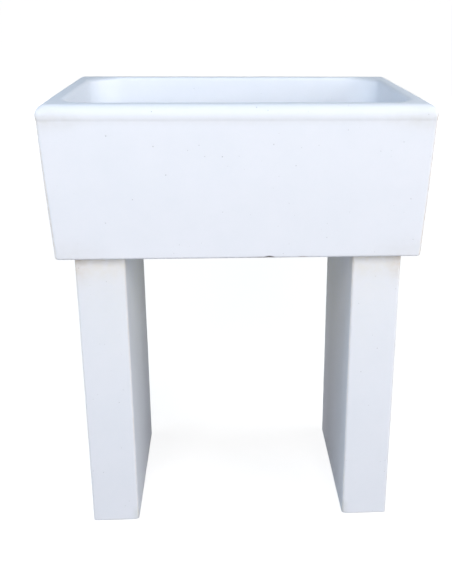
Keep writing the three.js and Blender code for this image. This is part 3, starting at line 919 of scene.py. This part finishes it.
def stem_shells(size, bottom, top, collar, rubber_foot):
    """The stem, with a thread below the rubber and a collar over it, and its eye of wire."""
    collar_top = collar + size.collar_thickness
    shank = rounded_path([
        (0, bottom, 0), (size.stem_radius, bottom, 0.3 * MM), (size.stem_radius, collar, 0),
    ], 0.1 * MM)
    head = rounded_path([
        (size.stem_radius, collar, 0), (size.collar_radius, collar, 0.2 * MM),
        (size.collar_radius, collar_top, 0.4 * MM), (0, collar_top, 0),
    ], 1 * MM)
    thread = (size.thread_pitch, size.thread_depth, bottom + 0.4 * MM, rubber_foot,
              size.stem_radius - 0.2 * MM)
    stem = turned(np.concatenate([shank, head[1:]]), steps=40, looped=False, thread=thread)
    eye_centre = (0, 0, top - size.eye_radius - size.eye_wire)
    return [stem, wire_loop(size.eye_radius, size.eye_wire, eye_centre, -UP, (0, 1, 0))]


# ---- Operators, one for each piece or group of like pieces ----

class LAUNDRY_SINK_OT_bowl(bpy.types.Operator):
    """Make the cast bowl"""

    bl_idname = "laundry_sink.bowl"
    bl_label = "Cast Bowl"

    def execute(self, context):
        size = settings("bowl_sizes")
        low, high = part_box("bowl")
        points = bowl_grid(size, low, high)
        normals = grid_normals(points)
        points = pressed(points, normals, bowl_stray(size, points, low.z))
        points = pressed(points, normals, band_depth(size, points, high))
        chip = (54 * MM, low.y + size.outer_draft, low.z + 0.8 * MM)
        points = pressed(points, normals, 0.5 * MM * dent(points, chip, 6 * MM))
        material = white_cast_stone(
            "white_cast_stone_bowl", bowl_stains_and_shade(size, low, high, chip),
            bowl_arrises(size, low, high),
        )
        make_piece("cast_bowl", [shell(points)], material, "stand", ["bowl"])
        return {"FINISHED"}


class LAUNDRY_SINK_OT_legs(bpy.types.Operator):
    """Make the two slab legs"""

    bl_idname = "laundry_sink.legs"
    bl_label = "Slab Legs"

    def execute(self, context):
        size = settings("leg_sizes")
        for seed, side in enumerate(("left", "right")):
            low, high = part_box(f"{side}_leg")
            inner_x, outer_x = (high.x, low.x) if side == "left" else (low.x, high.x)
            points = leg_grid(size, low, high, seed)
            stray = leg_stray(size, points, low, high, seed)
            points = pressed(points, grid_normals(points), stray)
            # the inner front corner of the foot is knocked in by a hundredth of the way to
            # a point up the middle of the leg
            knock = 0.01 * dent(points, (inner_x, low.y, low.z), 6 * MM)
            inward = plan(low, high)[0] + 40 * MM * UP - points
            points = points + inward * knock[..., None]
            arrises = [((x, low.y, low.z), (0, 0, 1)) for x in (low.x, high.x)]
            material = white_cast_stone(
                f"white_cast_stone_{side}_leg", leg_stains_and_shade(low, high, inner_x, outer_x), arrises,
            )
            make_piece(f"slab_leg_{side}", [shell(points, looped=False, capped=True)],
                       material, "stand", [f"{side}_leg"])
        return {"FINISHED"}


class LAUNDRY_SINK_OT_mortar_beds(bpy.types.Operator):
    """Make the mortar beds between the legs and the bowl"""

    bl_idname = "laundry_sink.mortar_beds"
    bl_label = "Mortar Beds"

    def execute(self, context):
        size = settings("leg_sizes")
        waves = (0.06, 0.035, 0.021, 0.012)
        level = np.linspace(-1, 1, 9)
        hollow = 1.2 * MM * level ** 2
        for seed, side in enumerate(("left", "right")):
            low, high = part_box(f"{side}_mortar_bed")
            middle, half_x, half_y = plan(low, high)
            z = low.z + (high.z - low.z) * (level + 1) / 2
            rings = rectangular_rings(
                half_x - hollow, half_y - hollow, np.full(len(level), 3 * MM),
                cuts_x=30, cuts_y=110, corner_steps=6,
            )
            points = at_heights(rings, z)
            normals = grid_normals(points) * (1, 1, 0)
            stray = 0.5 - drift(points * (1, 1, 0), seed + 30, waves)
            points = pressed(points, normals, size.bed_wander * stray) + middle
            make_fitting(f"mortar_{side}", [shell(points, looped=False, capped=True)],
                         "cement_mortar", "stand", f"{side}_mortar_bed")
        return {"FINISHED"}


class LAUNDRY_SINK_OT_dowels(bpy.types.Operator):
    """Make the four dowels inside the legs and the bowl"""

    bl_idname = "laundry_sink.dowels"
    bl_label = "Dowels"

    def execute(self, context):
        for side in ("left", "right"):
            for end in ("front", "back"):
                node = f"{side}_{end}_dowel"
                low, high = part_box(node)
                middle, radius, _ = plan(low, high)
                outline = rounded_path([
                    (0, low.z, 0), (radius, low.z, 1.5 * MM),
                    (radius, high.z, 1.5 * MM), (0, high.z, 0),
                ], 3 * MM)
                points, faces = turned(outline, steps=48, looped=False)
                make_fitting(f"steel_{node}", [(points + middle, faces)],
                             "galvanised_steel", "stand", node)
        return {"FINISHED"}


class LAUNDRY_SINK_OT_waste(bpy.types.Operator):
    """Make the flanged and threaded waste body with its grating"""

    bl_idname = "laundry_sink.waste"
    bl_label = "Waste Body"

    def execute(self, context):
        size = settings("waste_sizes")
        low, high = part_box("waste_body")
        under_flange = high.z - size.flange_thickness
        outline = rounded_path([
            (size.tube_bore, low.z, 0.4 * MM),
            (size.tube_radius, low.z, 0.8 * MM),
            (size.tube_radius, under_flange, 0),
            (high.x, under_flange, 0.6 * MM),
            (high.x, high.z, 1.6 * MM),
            (size.seat_radius, high.z, 1.2 * MM),
            (size.tube_bore, high.z - size.seat_depth, 2 * MM),
        ], size.thread_pitch / 8, closed=True)
        thread = (size.thread_pitch, size.thread_depth, low.z + 1 * MM,
                  under_flange - size.thread_top, size.tube_radius - 0.2 * MM)
        body = turned(outline, ROUND_STEPS, thread=thread)
        make_fitting("chromed_waste", [body, grating(size, high.z)], "bright_chrome_plate",
                     "stand", "waste_body")
        return {"FINISHED"}


class LAUNDRY_SINK_OT_washers(bpy.types.Operator):
    """Make the seal under the flange and the washers under the bowl"""

    bl_idname = "laundry_sink.washers"
    bl_label = "Seal and Washers"

    def execute(self, context):
        size = settings("waste_sizes")
        bore = size.tube_radius + size.fit_gap
        for node, inner, edge, finish in (
            ("flange_seal", bore, 0.5 * MM, "black_rubber"),
            ("rubber_washer", bore, 0.9 * MM, "black_rubber"),
            ("fibre_washer", bore, 0.2 * MM, "vulcanised_fibre"),
            ("tailpiece_washer", size.tail_bore, 0.6 * MM, "black_rubber"),
        ):
            low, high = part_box(node)
            ring = washer_shell(inner, high.x, low.z, high.z, edge)
            make_fitting(f"{node}_moulded", [ring], finish, "stand", node)
        return {"FINISHED"}


class LAUNDRY_SINK_OT_nuts(bpy.types.Operator):
    """Make the lock nut and the coupling nut"""

    bl_idname = "laundry_sink.nuts"
    bl_label = "Lock Nut and Coupling Nut"

    def execute(self, context):
        size = settings("waste_sizes")
        bore = size.tube_radius + size.fit_gap
        lead = 0.8 * MM
        low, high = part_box("lock_nut")
        through = plain_bore(bore, lead, low.z, high.z)
        nut = nut_shell(size.lock_nut_flats, through, low.z, high.z)
        make_fitting("brass_lock_nut", [nut], "cast_brass", "stand", "lock_nut")

        low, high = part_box("coupling_nut")
        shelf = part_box("tailpiece")[1].z - size.tail_flange
        neck = size.tail_radius + size.fit_gap
        stepped = np.array([
            (bore + lead, high.z), (bore, high.z - lead), (bore, shelf), (neck, shelf),
            (neck, low.z + lead), (neck + lead, low.z),
        ])
        nut = nut_shell(size.coupling_nut_flats, stepped, low.z, high.z)
        make_fitting("chromed_coupling_nut", [nut], "bright_chrome_plate", "stand",
                     "coupling_nut")
        return {"FINISHED"}


class LAUNDRY_SINK_OT_tailpiece(bpy.types.Operator):
    """Make the flanged tailpiece"""

    bl_idname = "laundry_sink.tailpiece"
    bl_label = "Tailpiece"

    def execute(self, context):
        size = settings("waste_sizes")
        low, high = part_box("tailpiece")
        shelf = high.z - size.tail_flange
        outline = rounded_path([
            (size.tail_bore, low.z, 0.4 * MM),
            (size.tail_radius, low.z, 1.2 * MM),
            (size.tail_radius, shelf, 0.8 * MM),
            (high.x, shelf, 0.6 * MM),
            (high.x, high.z, 0.8 * MM),
            (size.tail_bore, high.z, 0.8 * MM),
        ], 2 * MM, closed=True)
        make_fitting("chromed_tailpiece", [turned(outline, ROUND_STEPS)],
                     "bright_chrome_plate", "stand", "tailpiece")
        return {"FINISHED"}


class LAUNDRY_SINK_OT_plug(bpy.types.Operator):
    """Make the rubber plug with its stem, washers and nut"""

    bl_idname = "laundry_sink.plug"
    bl_label = "Plug"

    def execute(self, context):
        size, waste = settings("plug_sizes"), settings("waste_sizes")
        low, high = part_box("plug_rubber")
        section = rubber_section(size, waste, low, high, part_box("waste_body")[1].z)
        make_fitting("rubber_plug", [turned(section, steps=128)], "black_rubber", "plug",
                     "plug_rubber")

        stem_low, stem_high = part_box("plug_stem")
        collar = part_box("plug_upper_washer")[1].z
        shells = stem_shells(size, stem_low.z, stem_high.z, collar, low.z)
        make_fitting("chromed_stem", shells, "bright_chrome_plate", "plug", "plug_stem")

        hole = size.stem_radius + waste.fit_gap
        for node in ("plug_upper_washer", "plug_lower_washer"):
            low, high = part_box(node)
            ring = washer_shell(hole, high.x, low.z, high.z, 0.25 * MM)
            make_fitting(f"{node}_turned", [ring], "bright_chrome_plate", "plug", node)
        low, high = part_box("plug_nut")
        nut = nut_shell(size.nut_flats, plain_bore(hole, 0.3 * MM, low.z, high.z), low.z, high.z)
        make_fitting("brass_plug_nut", [nut], "cast_brass", "plug", "plug_nut")
        return {"FINISHED"}


class LAUNDRY_SINK_OT_pull_ring(bpy.types.Operator):
    """Make the wire pull ring that leans in the eye of the plug"""

    bl_idname = "laundry_sink.pull_ring"
    bl_label = "Pull Ring"

    def execute(self, context):
        size = settings("plug_sizes")
        hinge = next(joint for joint in frame["joints"] if joint["name"] == "ring_swing")
        eye = Vector(hinge["pos_m"])
        # its far side rests on the plug, so the sine of its lean is its drop over its width
        drop = eye.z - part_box("pull_ring")[0].z - size.ring_wire
        lean = math.asin(drop / (2 * size.ring_radius))
        outward = np.array([0, math.cos(lean), -math.sin(lean)])
        centre = np.array(eye) + size.ring_radius * outward
        wire = 0.99 * size.ring_wire  # just inside the solid's
        ring = wire_loop(size.ring_radius, wire, centre, outward, (1, 0, 0), joint=0.2)
        make_fitting("wire_pull_ring", [ring], "bright_chrome_plate", "ring", "pull_ring")
        return {"FINISHED"}


# ---- Stage ----

PHOTO_WIDTH, PHOTO_HEIGHT = 452, 584
PRINCIPAL_X = 271  # column of the photograph that the camera faces
CAMERA_PLACE = (-34.3 * MM, -1716.7 * MM, 1050.9 * MM)
CAMERA_DOWN = math.radians(19.925)
CAMERA_RIGHT = math.radians(3.55)
CAMERA_ROLL = math.radians(0.417)
CAMERA_LENS_PIXELS = 843.2  # focal length in pixels of the photograph
SENSOR = 36.0

# name, place, aim, width, height, watts, colour
LAMPS = (
    ("key_softbox", (-0.3, -3.4, 2.1), (0, 0, 0.55), 2.6, 2.0, 85, 0xFFF9F2),
    ("low_softbox", (0.0, -3.5, 0.8), (0, 0, 0.5), 2.0, 1.5, 16, 0xDAE6FF),
    ("front_right_softbox", (4.3, -3.2, 1.9), (0, 0, 0.6), 2.2, 2.2, 76, 0xFCFEFF),
    ("right_softbox", (3.2, -1.0, 1.4), (0, 0, 0.6), 1.6, 1.6, 19, 0xFFFFFE),
    ("high_right_softbox", (2.3, -0.1, 2.3), (0, 0, 0.8), 1.6, 1.6, 27, 0xF2FAFF),
    ("left_softbox", (-3.2, -1.0, 1.4), (0, 0, 0.6), 1.6, 1.6, 14, 0xDFF0FF),
    ("side_left_softbox", (-3.2, 0.0, 1.2), (0, 0, 0.7), 1.6, 1.6, 30, 0xF4FBFF),
    ("top_softbox", (-0.8, -0.8, 2.6), (-0.2, 0, 0.8), 1.4, 1.4, 12, 0xA6D6FF),
    ("back_softbox", (0.0, 7.0, 0.5), (0, 0, 0.45), 1.2, 0.7, 250, 0xFFFFFF),
)
WORLD_FILL = 0.01
WORLD_TINT = 0xC8DCFA
FLOOR_SHOWN = 0xBCBCBC
FLOOR_BOUNCE = 0x8C8C90
FLOOR_GLOW = (0.75, 1.0)  # under the sink, and from 5 m away


class LAUNDRY_SINK_OT_stage(bpy.types.Operator):
    """Make the floor, the lamps, the world and the camera"""

    bl_idname = "laundry_sink.stage"
    bl_label = "Stage"

    def execute(self, context):
        self.make_floor(context)
        self.make_lamps(context)
        self.make_world(context)
        self.make_camera(context)
        return {"FINISHED"}

    def seen_directly(self, tree):
        """One where the camera, a mirror or a glass looks, else nought."""
        path = add(tree, "LightPath")
        seen = add(tree, "Math", {
            0: path.outputs["Is Camera Ray"], 1: path.outputs["Is Glossy Ray"],
        }, operation="MAXIMUM")
        return add(tree, "Math", {
            0: seen.outputs[0], 1: path.outputs["Is Transmission Ray"],
        }, operation="MAXIMUM").outputs[0]

    def make_floor(self, context):
        """A flat disc of floor: pale where it is looked at, with a glow that grows with the
        distance from the sink until it is white, and mid grey to the light that it sends
        back up, so that the undersides of the sink stay in shade."""
        angle = np.arange(ROUND_STEPS) * FULL_TURN / ROUND_STEPS
        rim = np.stack([np.cos(angle), np.sin(angle), 0 * angle], axis=-1)
        radii = np.array([0.0, 1.0, 3.0, 9.0, 30.0, 200.0])
        points = (radii[:, None, None] * rim[None]).reshape(-1, 3)
        faces = grid_faces(len(radii), ROUND_STEPS, False)[:, ::-1]
        mesh = bpy.data.meshes.new("studio_floor")
        mesh.from_pydata(points.tolist(), [], faces.tolist())
        material = bpy.data.materials.new("studio_floor")
        material.use_nodes = True
        tree = material.node_tree
        output = tree.nodes["Material Output"]
        tree.nodes.remove(tree.nodes["Principled BSDF"])
        seen = self.seen_directly(tree)
        tint = add(tree, "Mix", {
            0: seen, 6: opaque(linear(FLOOR_BOUNCE)), 7: opaque(linear(FLOOR_SHOWN)),
        }, data_type="RGBA")
        matt = add(tree, "BsdfDiffuse", {"Color": tint.outputs[2]})
        place = add(tree, "TexCoord").outputs["Object"]
        away = add(tree, "VectorMath", {0: place}, operation="LENGTH").outputs["Value"]
        near, far = FLOOR_GLOW
        grown = add(tree, "MapRange", {"Value": away, 1: 0.8, 2: 5.0, 3: near, 4: far})
        glow_level = add(tree, "Math", {0: seen, 1: grown.outputs[0]}, operation="MULTIPLY")
        glow = add(tree, "Emission", {"Strength": glow_level.outputs[0]})
        both = add(tree, "AddShader", {0: matt.outputs[0], 1: glow.outputs[0]})
        tree.links.new(both.outputs[0], output.inputs["Surface"])
        mesh.materials.append(material)
        floor = bpy.data.objects.new("studio_floor", mesh)
        context.scene.collection.objects.link(floor)

    def make_lamps(self, context):
        """Large soft boxes, each aimed at the sink and not seen by the camera itself."""
        for name, place, aim, width, height, watts, tint in LAMPS:
            lamp = bpy.data.lights.new(name, "AREA")
            lamp.shape = "RECTANGLE"
            lamp.size, lamp.size_y = width, height
            lamp.energy = watts
            lamp.color = linear(tint)
            box = bpy.data.objects.new(name, lamp)
            box.location = place
            box.rotation_euler = (Vector(aim) - Vector(place)).to_track_quat("-Z", "Y").to_euler()
            box.visible_camera = False
            context.scene.collection.objects.link(box)

    def make_world(self, context):
        """White where it is looked at, a weak cool fill to everything else."""
        world = bpy.data.worlds.new("studio_world")
        world.use_nodes = True
        context.scene.world = world
        tree = world.node_tree
        output = tree.nodes["World Output"]
        backdrop = tree.nodes["Background"]
        backdrop.inputs["Color"].default_value = (1, 1, 1, 1)
        fill = add(tree, "Background", {
            "Color": opaque(linear(WORLD_TINT)), "Strength": WORLD_FILL,
        })
        mixed = add(tree, "MixShader", {
            0: self.seen_directly(tree), 1: fill.outputs[0], 2: backdrop.outputs[0],
        })
        tree.links.new(mixed.outputs[0], output.inputs["Surface"])

    def make_camera(self, context):
        """The photograph's view: height, tilt and turn from its edges, and its off-centre
        crop as a shift."""
        lens = bpy.data.cameras.new("photo_camera")
        lens.sensor_width = SENSOR
        lens.lens = CAMERA_LENS_PIXELS * SENSOR / PHOTO_HEIGHT
        lens.shift_x = (PHOTO_WIDTH / 2 - PRINCIPAL_X) / PHOTO_HEIGHT
        camera = bpy.data.objects.new("photo_camera", lens)
        camera.location = CAMERA_PLACE
        turn = Euler((math.pi / 2 - CAMERA_DOWN, 0, -CAMERA_RIGHT)).to_matrix()
        camera.rotation_euler = (turn @ Matrix.Rotation(CAMERA_ROLL, 3, "Z")).to_euler()
        context.scene.collection.objects.link(camera)
        context.scene.camera = camera
        context.scene.view_settings.view_transform = "Standard"


# ---- Panel and registration ----

OPERATORS = (
    LAUNDRY_SINK_OT_stage,
    LAUNDRY_SINK_OT_bowl,
    LAUNDRY_SINK_OT_legs,
    LAUNDRY_SINK_OT_mortar_beds,
    LAUNDRY_SINK_OT_dowels,
    LAUNDRY_SINK_OT_waste,
    LAUNDRY_SINK_OT_washers,
    LAUNDRY_SINK_OT_nuts,
    LAUNDRY_SINK_OT_tailpiece,
    LAUNDRY_SINK_OT_plug,
    LAUNDRY_SINK_OT_pull_ring,
)
GROUPS = {
    "bowl_sizes": BowlSizes,
    "leg_sizes": LegSizes,
    "waste_sizes": WasteSizes,
    "plug_sizes": PlugSizes,
    "sink_colours": SinkColours,
}


class LAUNDRY_SINK_PT_pieces(bpy.types.Panel):
    """Lists the sink's pieces in the sidebar"""

    bl_idname = "LAUNDRY_SINK_PT_pieces"
    bl_label = "Laundry Sink"
    bl_space_type = "VIEW_3D"
    bl_region_type = "UI"
    bl_category = "Laundry Sink"

    def draw(self, context):
        for operator in OPERATORS:
            self.layout.operator(operator.bl_idname)
        for name, group in GROUPS.items():
            box = self.layout.box()
            box.label(text=group.__doc__)
            for key in group.__annotations__:
                box.prop(settings(name), key)


def register():
    for group in GROUPS.values():
        bpy.utils.register_class(group)
    for name, group in GROUPS.items():
        setattr(bpy.types.Scene, name, PointerProperty(type=group))
    for operator in OPERATORS:
        bpy.utils.register_class(operator)
    bpy.utils.register_class(LAUNDRY_SINK_PT_pieces)


def unregister():
    bpy.utils.unregister_class(LAUNDRY_SINK_PT_pieces)
    for operator in reversed(OPERATORS):
        bpy.utils.unregister_class(operator)
    for name, group in GROUPS.items():
        delattr(bpy.types.Scene, name)
        bpy.utils.unregister_class(group)


def main():
    register()
    for operator in OPERATORS:
        group, name = operator.bl_idname.split(".")
        getattr(getattr(bpy.ops, group), name)()


if __name__ == "__main__":
    main()
